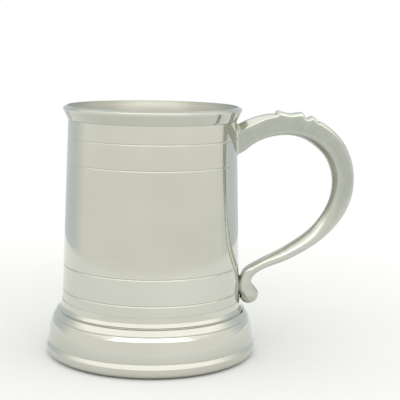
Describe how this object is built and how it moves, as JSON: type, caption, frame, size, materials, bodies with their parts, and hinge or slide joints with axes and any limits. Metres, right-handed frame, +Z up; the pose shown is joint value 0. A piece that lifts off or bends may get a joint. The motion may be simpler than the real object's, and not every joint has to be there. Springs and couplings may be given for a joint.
{
  "type": "pewter tankard",
  "caption": "Open pint tankard in polished pewter: tapered drum with a flared lip, spread foot, and a cast loop handle with a rolled thumb rest.",
  "frame": {"origin": "on the table, in the middle of the tankard's outline seen from above; the drum's own axis is 23.8 mm along -X from it", "axes": "+Z up, +X from the drum's axis towards the handle, +Y to the side"},
  "size_m": [0.1511, 0.1036, 0.122],
  "materials": {
    "polished_pewter": "polished",
    "pewter_inside": "satin",
    "cast_pewter": "satin",
    "solder": "satin"
  },
  "bodies": {
    "root": {"body_drum": "polished_pewter", "vessel_floor": "pewter_inside", "foot_skirt": "polished_pewter", "foot_solder_seam": "solder", "floor_solder_seam": "solder", "handle_casting": "cast_pewter", "upper_handle_solder": "solder", "lower_handle_solder": "solder"}
  },
  "joints": []
}
